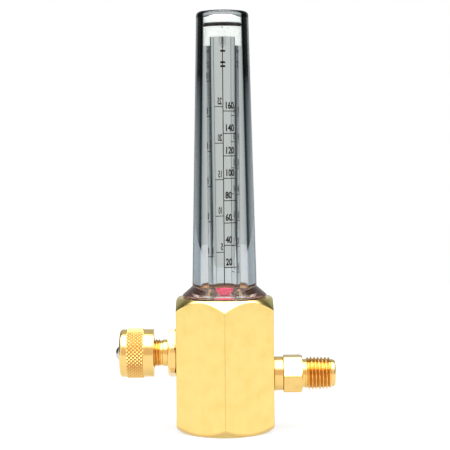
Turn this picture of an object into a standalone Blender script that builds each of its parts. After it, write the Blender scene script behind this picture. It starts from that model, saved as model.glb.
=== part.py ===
"""Thorpe-tube gas flowmeter with a needle valve.

Frame: metres, +Z up, origin at the centre of the body's bottom face.
The metering tube stands on the Z axis. The needle valve points to -X and the inlet to +X.
A hexagon corner of the body faces -Y, and the outlet port is in the flat behind the valve.

Gas enters the inlet, rises through the feed bore and the socket into the metering tube, lifts the
ball, leaves through the cap's vents, comes down inside the cover, and passes the needle to the outlet.
"""

import math

import bmesh
import bpy
from mathutils import Matrix, Vector

MM = 0.001
GAP = 0.3 * MM  # clearance between pieces that touch

# Driving dimensions
BODY_FLATS = 38.1 * MM
BODY_TOP = 52.7 * MM
BODY_CHAMFER_R = 18.4 * MM
TOP_CHAMFER_SLOPE = 1.2
BOTTOM_CHAMFER_SLOPE = 0.85
COVER_TOP = 165.0 * MM
COVER_TOP_R = 10.25 * MM
COVER_FOOT_R = 12.65 * MM
COVER_RIM_R = 16.55 * MM
COVER_INNER_FOOT_R = 9.4 * MM
COVER_INNER_TOP_R = 7.65 * MM
TUBE_R = 6.35 * MM
TUBE_BOTTOM = 44.3 * MM
TUBE_TOP = 156.5 * MM
TUBE_BORE_LOW_R = 4.15 * MM
TUBE_BORE_HIGH_R = 4.95 * MM
BALL_R = 3.97 * MM
INLET_Z = 22.0 * MM
VALVE_Z = 30.6 * MM
INLET_LENGTH = 43.4 * MM
KNOB_FACE = 41.4 * MM
KNOB_R = 9.4 * MM
OUTLET_ANGLE = math.radians(120)

# Bores of the body
SEAL_GROOVE_R = 14.4 * MM
SEAL_GROOVE_DEPTH = 1.5 * MM
COVER_BORE_R = 12.2 * MM
COVER_BORE_FLOOR = 43.0 * MM
SOCKET_BORE_R = 9.0 * MM
SOCKET_BORE_FLOOR = 38.0 * MM
STUB_BORE_R = 4.6 * MM
STUB_BORE_FLOOR = 33.8 * MM
FEED_BORE_R = 2.0 * MM
FEED_BORE_FLOOR = 20.0 * MM
INLET_PORT_R = 6.5 * MM
INLET_PORT_FLOOR = 8.0 * MM
VALVE_PORT_R = 5.8 * MM
VALVE_PORT_FLOOR = 12.5 * MM
CHAMBER_R = 2.8 * MM
CHAMBER_FLOOR = 9.5 * MM
SEAT_R = 1.2 * MM
SEAT_FLOOR = 4.2 * MM
RETURN_R = 0.9 * MM
RETURN_OFFSET = 10.6 * MM
OUTLET_R = 6.1 * MM
OUTLET_DEPTH = 10.0 * MM

# Metering tube, its socket, stops and cap
SOCKET_TOP = 49.0 * MM
SOCKET_CUP_R = 8.3 * MM
CUP_BORE_R = 6.65 * MM
CUP_FLOOR = 44.0 * MM
CUP_GROOVE = (45.4 * MM, 47.1 * MM)
CUP_GROOVE_R = 7.5 * MM
SOCKET_FEED_R = 1.6 * MM
LOWER_STOP_TOP = 48.6 * MM
LOWER_STOP_BORE_R = 2.0 * MM
UPPER_STOP_TIP = 149.8 * MM
CAP_R = 7.35 * MM
CAP_TOP = 162.6 * MM
CAP_SHOULDER = 154.2 * MM
LEG_TIP = 150.8 * MM
CAP_CHAMBER = (157.7 * MM, 158.7 * MM)
CAP_CHAMBER_R = 4.6 * MM
CAP_GROOVE = (158.2 * MM, 159.8 * MM)
CAP_GROOVE_R = 6.1 * MM
CAP_VENT_Z = 157.75 * MM
CAP_VENT_R = 0.35 * MM
PIN_R = 0.5 * MM

# Inlet nipple: distances from the Z axis, outwards
INLET_HEX_FLATS = 13.9 * MM
INLET_HEX = (23.0 * MM, 30.5 * MM)
INLET_THREAD = (32.0 * MM, 42.3 * MM)
INLET_THREAD_R = 6.75 * MM
INLET_PITCH = 1.411 * MM
THREAD_TAPER = 1 / 32
INLET_BORE_R = 3.4 * MM
INLET_INNER_BORE_R = 2.5 * MM
FILTER_SEAT = 29.5 * MM

# Valve: distances from the Z axis, outwards
BONNET_HEX_FLATS = 17.46 * MM
BONNET_HEX = (19.35 * MM, 22.6 * MM)
BONNET_HEX_TURN = math.radians(18.5)
BONNET_INNER_END = 13.9 * MM
BONNET_THREAD = (25.0 * MM, 36.5 * MM)
BONNET_THREAD_R = 5.56 * MM
BONNET_PITCH = 1.058 * MM
BONNET_BORE_R = 2.6 * MM
STEM_R = 2.35 * MM
STEM_TIP = 9.4 * MM
STEM_GROOVE = (15.0 * MM, 16.2 * MM)
STEM_GROOVE_R = 1.5 * MM
STEM_SPIGOT_R = 1.9 * MM
STEM_END = 40.1 * MM
KNOB_REAR = 28.0 * MM
KNOB_CAVITY_R = 5.95 * MM
KNOB_CAVITY_FLOOR = 38.6 * MM
KNURL_BAND = (31.9 * MM, 38.7 * MM)
KNURL_DEPTH = 0.6 * MM
SCREW_R = 2.9 * MM
SCREW_HEIGHT = 1.7 * MM
SCREW_SHANK_R = 1.1 * MM

# Sides of round pieces
ROUND = 24
FINE = 40
RING = 16


def clear_scene():
    for old in list(bpy.data.objects):
        bpy.data.objects.remove(old, do_unlink=True)


def principled(name, colour, roughness, metallic=0.0, transmission=0.0):
    material = bpy.data.materials.new(name)
    material.use_nodes = True
    shader = material.node_tree.nodes["Principled BSDF"]
    shader.inputs["Base Color"].default_value = (*colour, 1.0)
    shader.inputs["Roughness"].default_value = roughness
    shader.inputs["Metallic"].default_value = metallic
    shader.inputs["Transmission Weight"].default_value = transmission
    material.diffuse_color = (*colour, 1.0)
    return material


def add_object(name, bm, material, parent=None):
    """Turns a bmesh into a named object with its faces pointing out."""
    bmesh.ops.recalc_face_normals(bm, faces=bm.faces)
    mesh = bpy.data.meshes.new(name)
    bm.to_mesh(mesh)
    bm.free()
    mesh.shade_smooth()
    mesh.set_sharp_from_angle(angle=math.radians(35))
    obj = bpy.data.objects.new(name, mesh)
    bpy.context.scene.collection.objects.link(obj)
    if material:
        mesh.materials.append(material)
    obj.parent = parent
    return obj


def add_empty(name, location, rotation=(0.0, 0.0, 0.0)):
    empty = bpy.data.objects.new(name, None)
    empty.location = location
    empty.rotation_euler = rotation
    empty.empty_display_size = 10 * MM
    bpy.context.scene.collection.objects.link(empty)
    return empty


def turned(outline, segments=ROUND):
    """Revolves a closed outline of (radius, height) points about Z. A point at radius 0 is a pole."""
    bm = bmesh.new()
    rings = []
    for radius, height in outline:
        if radius < 1e-7:
            rings.append([bm.verts.new((0, 0, height))])
            continue
        ring = []
        for i in range(segments):
            angle = 2 * math.pi * (i + 0.5) / segments
            ring.append(bm.verts.new((radius * math.cos(angle), radius * math.sin(angle), height)))
        rings.append(ring)
    for a, b in zip(rings, rings[1:] + rings[:1]):
        for i in range(segments):
            j = (i + 1) % segments
            corners = [a[i % len(a)], a[j % len(a)], b[j % len(b)], b[i % len(b)]]
            corners = list(dict.fromkeys(corners))
            if len(corners) > 2:
                bm.faces.new(corners)
    return bm


def hexagon(flats, low, high, turn=0.0):
    """A hexagonal bar along Z with a flat facing +X, turned by an angle."""
    bm = bmesh.new()
    corner_r = flats / math.sqrt(3)
    lower = []
    upper = []
    for i in range(6):
        angle = turn + math.radians(30 + 60 * i)
        x = corner_r * math.cos(angle)
        y = corner_r * math.sin(angle)
        lower.append(bm.verts.new((x, y, low)))
        upper.append(bm.verts.new((x, y, high)))
    bm.faces.new(lower)
    bm.faces.new(upper)
    for i in range(6):
        j = (i + 1) % 6
        bm.faces.new((lower[i], lower[j], upper[j], upper[i]))
    return bm


def torus(centre_r, minor_r, height, segments=RING, sides=6):
    """A ring of round section about Z."""
    outline = []
    for i in range(sides):
        angle = 2 * math.pi * (i + 0.5) / sides
        outline.append((centre_r + minor_r * math.cos(angle), height + minor_r * math.sin(angle)))
    return turned(outline, segments)


def arc(centre, radius, start, end, steps):
    """Points (radius, height) of an arc between two angles in degrees."""
    points = []
    for i in range(steps + 1):
        angle = math.radians(start + (end - start) * i / steps)
        points.append((centre[0] + radius * math.cos(angle), centre[1] + radius * math.sin(angle)))
    return points


def thread_rings(low, high, crest_r, pitch, depth, taper=0.0):
    """Outline of a thread from low to high, as rings of triangular section."""
    points = []
    turns = int((high - low) / pitch)
    for i in range(turns):
        root = low + i * pitch
        crest = root + pitch / 2
        points.append((crest_r - depth - taper * (root - low), root))
        points.append((crest_r - taper * (crest - low), crest))
    points.append((crest_r - depth - taper * turns * pitch, low + turns * pitch))
    return points


def combine(target, tool, operation):
    """Keeps a hidden tool object and applies it to the target with a Boolean modifier."""
    tool.hide_render = True
    tool.display_type = "WIRE"
    modifier = target.modifiers.new(tool.name, "BOOLEAN")
    modifier.operation = operation
    modifier.solver = "EXACT"
    modifier.object = tool


def cut(target, name, bm, location=(0, 0, 0), rotation=(0, 0, 0)):
    """Cuts a bmesh, moved and turned into place, out of the target."""
    tool = add_object(name, bm, None)
    tool.location = location
    tool.rotation_euler = rotation
    combine(target, tool, "DIFFERENCE")


def stepped_bore(steps, mouth, chamfer=0.0):
    """A stepped drill along Z. Steps are (radius, floor height), deepest and narrowest first."""
    outline = [(0, steps[0][1])]
    floors = [floor for radius, floor in steps[1:]]
    for (radius, floor), end in zip(steps, [*floors, mouth - chamfer]):
        outline.append((radius, floor))
        outline.append((radius, end))
    widest = outline[-1][0]
    if chamfer:
        widest += chamfer + 2 * MM
    outline.append((widest, mouth + 2 * MM))
    outline.append((0, mouth + 2 * MM))
    return turned(outline)


OUTWARD_X = (0, math.pi / 2, 0)  # turns a piece's own Z to +X
OUTWARD_VALVE = (0, -math.pi / 2, 0)  # turns a piece's own Z to -X


def body(material):
    """The hexagonal bar: turned chamfers at both ends, then every bore."""
    flat_r = BODY_FLATS / 2
    obj = add_object("body", hexagon(BODY_FLATS, -1 * MM, BODY_TOP + 1 * MM), material)
    reach = 24 * MM
    spread = reach - BODY_CHAMFER_R
    blank = turned(
        [
            (0, 0),
            (BODY_CHAMFER_R, 0),
            (reach, BOTTOM_CHAMFER_SLOPE * spread),
            (reach, BODY_TOP - TOP_CHAMFER_SLOPE * spread),
            (BODY_CHAMFER_R, BODY_TOP),
            (0, BODY_TOP),
        ],
        segments=56,
    )
    combine(obj, add_object("body_blank", blank, None), "INTERSECT")
    tube_steps = [
        (FEED_BORE_R, FEED_BORE_FLOOR),
        (STUB_BORE_R, STUB_BORE_FLOOR),
        (SOCKET_BORE_R, SOCKET_BORE_FLOOR),
        (COVER_BORE_R, COVER_BORE_FLOOR),
        (SEAL_GROOVE_R, BODY_TOP - SEAL_GROOVE_DEPTH),
    ]
    cut(obj, "tube_bore_tool", stepped_bore(tube_steps, BODY_TOP))
    inlet_steps = [(INLET_INNER_BORE_R, -0.4 * MM), (INLET_PORT_R, INLET_PORT_FLOOR)]
    inlet = stepped_bore(inlet_steps, flat_r, 0.5 * MM)
    cut(obj, "inlet_port_tool", inlet, (0, 0, INLET_Z), OUTWARD_X)
    valve_steps = [(SEAT_R, SEAT_FLOOR), (CHAMBER_R, CHAMBER_FLOOR), (VALVE_PORT_R, VALVE_PORT_FLOOR)]
    valve = stepped_bore(valve_steps, flat_r, 0.5 * MM)
    cut(obj, "valve_port_tool", valve, (0, 0, VALVE_Z), OUTWARD_VALVE)
    outlet_turn = Matrix.Rotation(OUTLET_ANGLE, 4, "Z") @ Matrix.Rotation(math.pi / 2, 4, "Y")
    outlet = stepped_bore([(OUTLET_R, flat_r - OUTLET_DEPTH)], flat_r, 0.6 * MM)
    cut(obj, "outlet_port_tool", outlet, (0, 0, VALVE_Z), outlet_turn.to_euler())
    reach = 9 * MM
    passage = turned([(0, 0), (SEAT_R, 0), (SEAT_R, reach), (0, reach)], segments=16)
    passage_start = (-SEAT_FLOOR - 0.7 * MM, 0, VALVE_Z)
    cut(obj, "outlet_passage_tool", passage, passage_start, outlet_turn.to_euler())
    low = VALVE_Z
    high = COVER_BORE_FLOOR + 2 * MM
    return_hole = turned([(0, low), (RETURN_R, low), (RETURN_R, high), (0, high)], segments=12)
    cut(obj, "return_hole_tool", return_hole, (-RETURN_OFFSET, 0, 0))
    return obj


def tube_cover(material):
    """Clear tapered cover: closed top, conical foot with a rim, and a spigot that enters the body."""
    rim_low = BODY_TOP + GAP
    rim_high = rim_low + 0.75 * MM
    foot = rim_high + (COVER_RIM_R - COVER_FOOT_R) * 0.87
    spigot_end = 45 * MM
    edge_r = 1.6 * MM
    outside = [
        (COVER_BORE_R - 0.2 * MM, spigot_end),
        (COVER_BORE_R - 0.2 * MM, rim_low),
        (COVER_RIM_R - 0.2 * MM, rim_low),
        (COVER_RIM_R, rim_low + 0.25 * MM),
        (COVER_RIM_R, rim_high),
        (COVER_FOOT_R, foot),
        *arc((COVER_TOP_R - edge_r, COVER_TOP - 0.5 * MM - edge_r), edge_r, 0, 75, 4),
        (COVER_TOP_R * 0.45, COVER_TOP - 0.1 * MM),
        (0, COVER_TOP),
    ]
    inside = [
        (0, COVER_TOP - 2.0 * MM),
        (6.9 * MM, COVER_TOP - 2.2 * MM),
        (COVER_INNER_TOP_R, COVER_TOP - 3.0 * MM),
        (COVER_INNER_FOOT_R, foot),
        (9.5 * MM, spigot_end),
    ]
    return add_object("tube_cover", turned(outside + inside, FINE), material)


def cover_oring(material):
    return add_object("cover_oring", torus(13.3 * MM, 0.75 * MM, 52.1 * MM, FINE), material)


def flow_tube(material):
    outline = [
        (TUBE_R, TUBE_BOTTOM),
        (TUBE_R, TUBE_TOP),
        (TUBE_BORE_HIGH_R, TUBE_TOP),
        (TUBE_BORE_LOW_R, LOWER_STOP_TOP),
        (TUBE_BORE_LOW_R, TUBE_BOTTOM),
    ]
    return add_object("flow_tube", turned(outline), material)


def tube_socket(material):
    """Brass socket: stub in the feed bore, flange on the body's ledge, cup round the tube."""
    floor = SOCKET_BORE_FLOOR + 0.2 * MM
    outline = [
        (SOCKET_FEED_R, STUB_BORE_FLOOR + 0.2 * MM),
        (STUB_BORE_R - 0.15 * MM, STUB_BORE_FLOOR + 0.2 * MM),
        (STUB_BORE_R - 0.15 * MM, floor),
        (5.6 * MM, floor),
        (5.6 * MM, floor + 0.9 * MM),
        (7.6 * MM, floor + 0.9 * MM),
        (7.6 * MM, floor),
        (SOCKET_BORE_R - 0.4 * MM, floor),
        (SOCKET_BORE_R - 0.4 * MM, 42.6 * MM),
        (SOCKET_CUP_R, 43 * MM),
        (SOCKET_CUP_R, SOCKET_TOP),
        (CUP_BORE_R, SOCKET_TOP),
        (CUP_BORE_R, CUP_GROOVE[1]),
        (CUP_GROOVE_R, CUP_GROOVE[1]),
        (CUP_GROOVE_R, CUP_GROOVE[0]),
        (CUP_BORE_R, CUP_GROOVE[0]),
        (CUP_BORE_R, CUP_FLOOR),
        (SOCKET_FEED_R, CUP_FLOOR),
    ]
    return add_object("tube_socket", turned(outline), material)


def inner_seals(material):
    """O-rings under the socket, at both ends of the metering tube and round its cap."""
    add_object("socket_oring", torus(6.6 * MM, 0.45 * MM, 38.6 * MM), material)
    add_object("tube_lower_oring", torus(6.97 * MM, 0.4 * MM, sum(CUP_GROOVE) / 2, ROUND), material)
    add_object("tube_upper_oring", torus(5.65 * MM, 0.45 * MM, TUBE_TOP + 0.6 * MM), material)
    add_object("cap_oring", torus(6.92 * MM, 0.6 * MM, sum(CAP_GROOVE) / 2, ROUND), material)


def lower_float_stop(material):
    """Perforated plug that the ball rests on."""
    outline = [
        (LOWER_STOP_BORE_R, TUBE_BOTTOM + 0.4 * MM),
        (TUBE_BORE_LOW_R - 0.3 * MM, TUBE_BOTTOM + 0.4 * MM),
        (TUBE_BORE_LOW_R - 0.3 * MM, LOWER_STOP_TOP - 0.4 * MM),
        (TUBE_BORE_LOW_R - 0.7 * MM, LOWER_STOP_TOP),
        (LOWER_STOP_BORE_R, LOWER_STOP_TOP),
    ]
    return add_object("lower_float_stop", turned(outline, RING), material)


def float_ball(material):
    """Ball on its seat. Its origin is its centre, on the axis that it slides along."""
    seat_drop = math.sqrt(BALL_R**2 - LOWER_STOP_BORE_R**2)
    centre = LOWER_STOP_TOP + seat_drop + GAP
    outline = arc((0, 0), BALL_R, -90, 90, 12)
    outline[0] = (0, -BALL_R)
    outline[-1] = (0, BALL_R)
    slide = add_empty("float_axis", (0, 0, centre))
    return add_object("float_ball", turned(outline), material, slide)


def upper_float_stop(material):
    """Pin that hangs from the cap into the metering tube."""
    top = CAP_CHAMBER[1] + 1.2 * MM
    outline = [
        (0, UPPER_STOP_TIP),
        (0.3 * MM, UPPER_STOP_TIP + 0.1 * MM),
        (PIN_R, UPPER_STOP_TIP + 0.4 * MM),
        (PIN_R, top),
        (0, top),
    ]
    return add_object("upper_float_stop", turned(outline, 16), material)


def tube_cap(material):
    """Cap with an O-ring groove, a recess for the tube, three legs and side vents."""
    recess_top, chamber_top = CAP_CHAMBER
    outline = [
        (0, CAP_TOP),
        (CAP_R - 0.5 * MM, CAP_TOP),
        (CAP_R - 0.15 * MM, CAP_TOP - 0.35 * MM),
        (CAP_R - 0.1 * MM, CAP_GROOVE[1]),
        (CAP_GROOVE_R, CAP_GROOVE[1]),
        (CAP_GROOVE_R, CAP_GROOVE[0]),
        (CAP_R, CAP_GROOVE[0]),
        (CAP_R, LEG_TIP),
        (CUP_BORE_R, LEG_TIP),
        (CUP_BORE_R, recess_top),
        (CAP_CHAMBER_R, recess_top),
        (CAP_CHAMBER_R, chamber_top),
        (PIN_R + GAP, chamber_top),
        (PIN_R + GAP, chamber_top + 1.5 * MM),
        (0, chamber_top + 1.5 * MM),
    ]
    obj = add_object("tube_cap", turned(outline), material)
    for i in range(3):
        slot = bmesh.new()
        size = Matrix.Diagonal((6 * MM, 9 * MM, 2 * (CAP_SHOULDER - LEG_TIP), 1))
        bmesh.ops.create_cube(slot, size=1, matrix=size)
        turn = math.radians(120 * i - 90)
        centre = (7.5 * MM * math.cos(turn), 7.5 * MM * math.sin(turn), LEG_TIP)
        cut(obj, f"cap_slot_tool_{i}", slot, centre, (0, 0, turn))
    reach = CAP_R + 1.5 * MM
    vent = turned([(0, -reach), (CAP_VENT_R, -reach), (CAP_VENT_R, reach), (0, reach)], 8)
    cut(obj, "cap_vent_tool", vent, (0, 0, CAP_VENT_Z), (math.pi / 2, 0, 0))
    return obj


def inlet_nipple(material):
    """Inner thread, collar, hexagon, neck and tapered male thread, with a stepped bore."""
    inner = INLET_PORT_FLOOR + 0.2 * MM
    flat_r = BODY_FLATS / 2
    end_r = INLET_THREAD_R - 1.2 * MM
    outline = [
        (0, inner),
        (INLET_PORT_R - 0.7 * MM, inner),
        (INLET_PORT_R - 0.2 * MM, inner + 0.5 * MM),
        (INLET_PORT_R - 0.2 * MM, flat_r + 0.15 * MM),
        (INLET_PORT_R - 0.5 * MM, flat_r + GAP),
        (6.75 * MM, flat_r + GAP),
        (6.75 * MM, INLET_HEX[0] - 0.2 * MM),
        (6.1 * MM, INLET_HEX[0]),
        (5.6 * MM, INLET_HEX[1] + 0.2 * MM),
        (5.6 * MM, INLET_THREAD[0] - 0.5 * MM),
        *thread_rings(*INLET_THREAD, INLET_THREAD_R, INLET_PITCH, 1.05 * MM, THREAD_TAPER),
        (end_r, INLET_LENGTH - 0.6 * MM),
        (end_r - 0.6 * MM, INLET_LENGTH),
        (0, INLET_LENGTH),
    ]
    obj = add_object("inlet_nipple", turned(outline), material)
    obj.location = (0, 0, INLET_Z)
    obj.rotation_euler = OUTWARD_X
    bar = hexagon(INLET_HEX_FLATS, INLET_HEX[0] - 1 * MM, INLET_HEX[1] + 1 * MM)
    nut = add_object("inlet_hex_tool", bar, None)
    corner_r = INLET_HEX_FLATS / math.sqrt(3)
    trim_r = INLET_HEX_FLATS / 2 - 0.1 * MM
    drop = (corner_r + 1 * MM - trim_r) * 0.6
    blank = turned(
        [
            (0, INLET_HEX[0]),
            (corner_r + 1 * MM, INLET_HEX[0]),
            (corner_r + 1 * MM, INLET_HEX[1] - drop),
            (trim_r, INLET_HEX[1]),
            (0, INLET_HEX[1]),
        ],
        FINE,
    )
    combine(nut, add_object("inlet_hex_blank", blank, None, nut), "INTERSECT")
    nut.location = obj.location
    nut.rotation_euler = obj.rotation_euler
    combine(obj, nut, "UNION")
    bore = stepped_bore([(INLET_INNER_BORE_R, inner - 1 * MM), (INLET_BORE_R, FILTER_SEAT)], INLET_LENGTH)
    cut(obj, "inlet_bore_tool", bore, obj.location, obj.rotation_euler)
    return obj


def inlet_filter(material):
    """Sintered plug in the mouth of the inlet."""
    low = FILTER_SEAT + GAP
    outline = [(0, low), (3.1 * MM, low), (3.1 * MM, low + 8 * MM), (2.6 * MM, low + 8.5 * MM)]
    outline.append((0, low + 8.5 * MM))
    obj = add_object("inlet_filter", turned(outline, RING), material)
    obj.location = (0, 0, INLET_Z)
    obj.rotation_euler = OUTWARD_X
    return obj


def valve_bonnet(material):
    """Gland: thread into the body, hexagon, shank, and the male thread that the knob runs on."""
    flat_r = BODY_FLATS / 2
    outline = [
        (0, BONNET_INNER_END),
        (VALVE_PORT_R - 0.6 * MM, BONNET_INNER_END),
        (VALVE_PORT_R - 0.2 * MM, BONNET_INNER_END + 0.4 * MM),
        (VALVE_PORT_R - 0.2 * MM, flat_r + 0.1 * MM),
        (5.3 * MM, BONNET_HEX[0] + 0.1 * MM),
        (5.3 * MM, BONNET_THREAD[0] - 0.4 * MM),
        *thread_rings(*BONNET_THREAD, BONNET_THREAD_R, BONNET_PITCH, 0.62 * MM),
        (0, BONNET_THREAD[0] + 10.2 * BONNET_PITCH),
    ]
    obj = add_object("valve_bonnet", turned(outline), material)
    obj.location = (0, 0, VALVE_Z)
    obj.rotation_euler = OUTWARD_VALVE
    bar = hexagon(BONNET_HEX_FLATS, BONNET_HEX[0] - 1 * MM, BONNET_HEX[1] + 1 * MM, BONNET_HEX_TURN)
    nut = add_object("bonnet_hex_tool", bar, None)
    corner_r = BONNET_HEX_FLATS / math.sqrt(3)
    trim_r = BONNET_HEX_FLATS / 2 - 0.3 * MM
    drop = (corner_r + 1 * MM - trim_r) * 0.7
    blank = turned(
        [
            (0, BONNET_HEX[0]),
            (corner_r + 1 * MM, BONNET_HEX[0]),
            (corner_r + 1 * MM, BONNET_HEX[1] - drop),
            (trim_r, BONNET_HEX[1]),
            (0, BONNET_HEX[1]),
        ],
        FINE,
    )
    combine(nut, add_object("bonnet_hex_blank", blank, None, nut), "INTERSECT")
    nut.location = obj.location
    nut.rotation_euler = obj.rotation_euler
    combine(obj, nut, "UNION")
    bore = stepped_bore([(BONNET_BORE_R, BONNET_INNER_END - 1 * MM)], BONNET_THREAD[1])
    cut(obj, "bonnet_bore_tool", bore, obj.location, obj.rotation_euler)
    return obj


def bonnet_oring(material):
    ring = torus(4.4 * MM, 0.55 * MM, (VALVE_PORT_FLOOR + BONNET_INNER_END) / 2)
    obj = add_object("bonnet_oring", ring, material)
    obj.location = (0, 0, VALVE_Z)
    obj.rotation_euler = OUTWARD_VALVE
    return obj


def valve_stem(material, axis):
    """Needle, seal groove, shank, and the spigot that the knob sits on."""
    outline = [
        (0, STEM_TIP),
        (0.25 * MM, STEM_TIP),
        (2.1 * MM, 12.6 * MM),
        (2.1 * MM, 13.1 * MM),
        (STEM_R, 13.4 * MM),
        (STEM_R, STEM_GROOVE[0]),
        (STEM_GROOVE_R, STEM_GROOVE[0]),
        (STEM_GROOVE_R, STEM_GROOVE[1]),
        (STEM_R, STEM_GROOVE[1]),
        (STEM_R, KNOB_CAVITY_FLOOR - GAP),
        (STEM_SPIGOT_R, KNOB_CAVITY_FLOOR - GAP),
        (STEM_SPIGOT_R, STEM_END),
        (1.4 * MM, STEM_END),
        (1.4 * MM, 36.2 * MM),
        (0, 36.2 * MM),
    ]
    return add_object("valve_stem", turned(outline, RING), material, axis)


def stem_oring(material, axis):
    return add_object("stem_oring", torus(2.02 * MM, 0.4 * MM, sum(STEM_GROOVE) / 2), material, axis)


def knob(material, axis):
    """Cup-shaped knob with a knurled band between two plain bands."""
    low, high = KNURL_BAND
    rows = 6
    inside = [
        (1.5 * MM, KNOB_FACE),
        (1.5 * MM, STEM_END + GAP),
        (STEM_SPIGOT_R + GAP, STEM_END + GAP),
        (STEM_SPIGOT_R + GAP, KNOB_CAVITY_FLOOR),
        (KNOB_CAVITY_R, KNOB_CAVITY_FLOOR),
        (KNOB_CAVITY_R, KNOB_REAR),
    ]
    rear = [(KNOB_R - 0.15 * MM, KNOB_REAR), (KNOB_R, KNOB_REAR + 0.3 * MM), (KNOB_R, low - 0.2 * MM)]
    band = [(KNOB_R + 0.35 * MM, low + (high - low) * i / rows) for i in range(rows + 1)]
    corner = arc((KNOB_R - 1.2 * MM, KNOB_FACE - 1.2 * MM), 1.2 * MM, 0, 90, 3)
    front = [(KNOB_R, high + 0.2 * MM), *corner]
    outline = inside + rear + band + front
    teeth = FINE
    bm = turned(outline, teeth)
    bm.verts.ensure_lookup_table()
    first = len(inside) + len(rear)
    for row in range(1, rows):
        for i in range(teeth):
            vertex = bm.verts[(first + row) * teeth + i]
            lift = KNURL_DEPTH / 2 if (row + i) % 2 else -KNURL_DEPTH / 2
            outward = Vector((vertex.co.x, vertex.co.y, 0)).normalized()
            vertex.co += outward * lift
    return add_object("knob", bm, material, axis)


def knob_screw(material, axis):
    """Dome-headed screw that clamps the knob to the stem."""
    head = KNOB_FACE + GAP
    height = SCREW_HEIGHT
    sphere_r = (SCREW_R**2 + height**2) / (2 * height)
    rise = math.degrees(math.asin((sphere_r - height) / sphere_r))
    dome = arc((0, head + height - sphere_r), sphere_r, rise, 90, 5)
    dome[-1] = (0, head + height)
    shank_end = head - 5.1 * MM
    outline = [(0, shank_end), (SCREW_SHANK_R, shank_end), (SCREW_SHANK_R, head), *dome]
    return add_object("knob_screw", turned(outline, RING), material, axis)


def build():
    clear_scene()
    brass = principled("brass", (0.90, 0.66, 0.28), 0.22, 1.0)
    turned_brass = principled("turned_brass", (0.92, 0.60, 0.22), 0.28, 1.0)
    cover_clear = principled("cover_clear", (0.90, 0.94, 0.95), 0.05, 0.0, 0.9)
    tube_clear = principled("tube_clear", (0.93, 0.95, 0.96), 0.05, 0.0, 0.9)
    white = principled("white_plastic", (0.88, 0.90, 0.92), 0.35)
    rubber = principled("black_rubber", (0.02, 0.02, 0.022), 0.55)
    red = principled("red_float", (0.80, 0.02, 0.12), 0.2)
    steel = principled("steel", (0.72, 0.74, 0.77), 0.18, 1.0)
    sintered = principled("sintered_bronze", (0.55, 0.38, 0.22), 0.7, 1.0)
    body(brass)
    tube_cover(cover_clear)
    cover_oring(rubber)
    flow_tube(tube_clear)
    tube_socket(turned_brass)
    inner_seals(rubber)
    lower_float_stop(steel)
    float_ball(red)
    upper_float_stop(steel)
    tube_cap(white)
    inlet_nipple(turned_brass)
    inlet_filter(sintered)
    valve_bonnet(turned_brass)
    bonnet_oring(rubber)
    valve_axis = add_empty("valve_axis", (0, 0, VALVE_Z), OUTWARD_VALVE)
    valve_stem(steel, valve_axis)
    stem_oring(rubber, valve_axis)
    knob(turned_brass, valve_axis)
    knob_screw(steel, valve_axis)


build()
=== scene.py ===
"""Looks of the gas flowmeter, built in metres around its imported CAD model.

+Z runs up the metering tube, the knob points to -X, the inlet to +X and the scale faces -Y.
"""

import math

import bmesh
import bpy
from mathutils import Matrix, Vector


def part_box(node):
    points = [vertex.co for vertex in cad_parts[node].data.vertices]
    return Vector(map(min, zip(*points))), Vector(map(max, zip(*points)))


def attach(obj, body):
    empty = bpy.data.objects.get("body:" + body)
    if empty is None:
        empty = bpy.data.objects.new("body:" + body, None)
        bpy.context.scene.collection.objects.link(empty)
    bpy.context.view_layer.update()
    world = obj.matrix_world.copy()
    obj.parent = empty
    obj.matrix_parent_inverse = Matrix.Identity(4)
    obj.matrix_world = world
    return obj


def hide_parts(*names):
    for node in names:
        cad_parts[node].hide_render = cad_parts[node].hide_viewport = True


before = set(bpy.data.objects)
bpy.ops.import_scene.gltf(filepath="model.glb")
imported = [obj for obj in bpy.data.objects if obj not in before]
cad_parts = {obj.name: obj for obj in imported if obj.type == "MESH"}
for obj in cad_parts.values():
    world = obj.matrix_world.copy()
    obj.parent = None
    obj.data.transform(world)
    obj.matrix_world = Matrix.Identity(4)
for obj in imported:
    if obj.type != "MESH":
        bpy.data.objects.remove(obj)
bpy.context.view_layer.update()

MM = 0.001
TAU = 2 * math.pi

# Heights and sizes shared by several pieces, as in the CAD model
BODY_FLATS = 38.1 * MM
BODY_TOP = 52.7 * MM
TUBE_R = 6.35 * MM
BODY_CHAMFER_R = 18.4 * MM
TOP_CHAMFER_SLOPE = 1.2
BOTTOM_CHAMFER_SLOPE = 0.85
FOOT_R = 12.65 * MM
FOOT_TOP = 57.14 * MM
INLET_Z = 22.0 * MM
VALVE_Z = 30.6 * MM
OUTLET_ANGLE = math.radians(120)
PIPE_PITCH = 1.411 * MM
VALVE_PITCH = 1.058 * MM
TO_INLET = Matrix.Translation((0, 0, INLET_Z)) @ Matrix.Rotation(math.pi / 2, 4, "Y")
TO_VALVE = Matrix.Translation((0, 0, VALVE_Z)) @ Matrix.Rotation(-math.pi / 2, 4, "Y")
TO_OUTLET = (
    Matrix.Translation((0, 0, VALVE_Z))
    @ Matrix.Rotation(OUTLET_ANGLE, 4, "Z")
    @ Matrix.Rotation(math.pi / 2, 4, "Y")
)


# ---------------------------------------------------------------- camera, floor, light


EYE = (0.0004, -0.553, 0.1105)
LOOKS_DOWN = math.radians(3.05)
ROLL = math.radians(-0.5)


def make_camera():
    """Eye a little above half height, tilted down, with a long lens."""
    data = bpy.data.cameras.new("camera")
    data.sensor_width = 36
    data.lens = 112.5
    camera = bpy.data.objects.new("camera", data)
    tilt = Matrix.Rotation(math.pi / 2 - LOOKS_DOWN, 4, "X")
    roll = Matrix.Rotation(ROLL, 4, "Z")
    camera.matrix_world = Matrix.Translation(EYE) @ tilt @ roll
    bpy.context.scene.collection.objects.link(camera)
    bpy.context.scene.camera = camera


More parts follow.
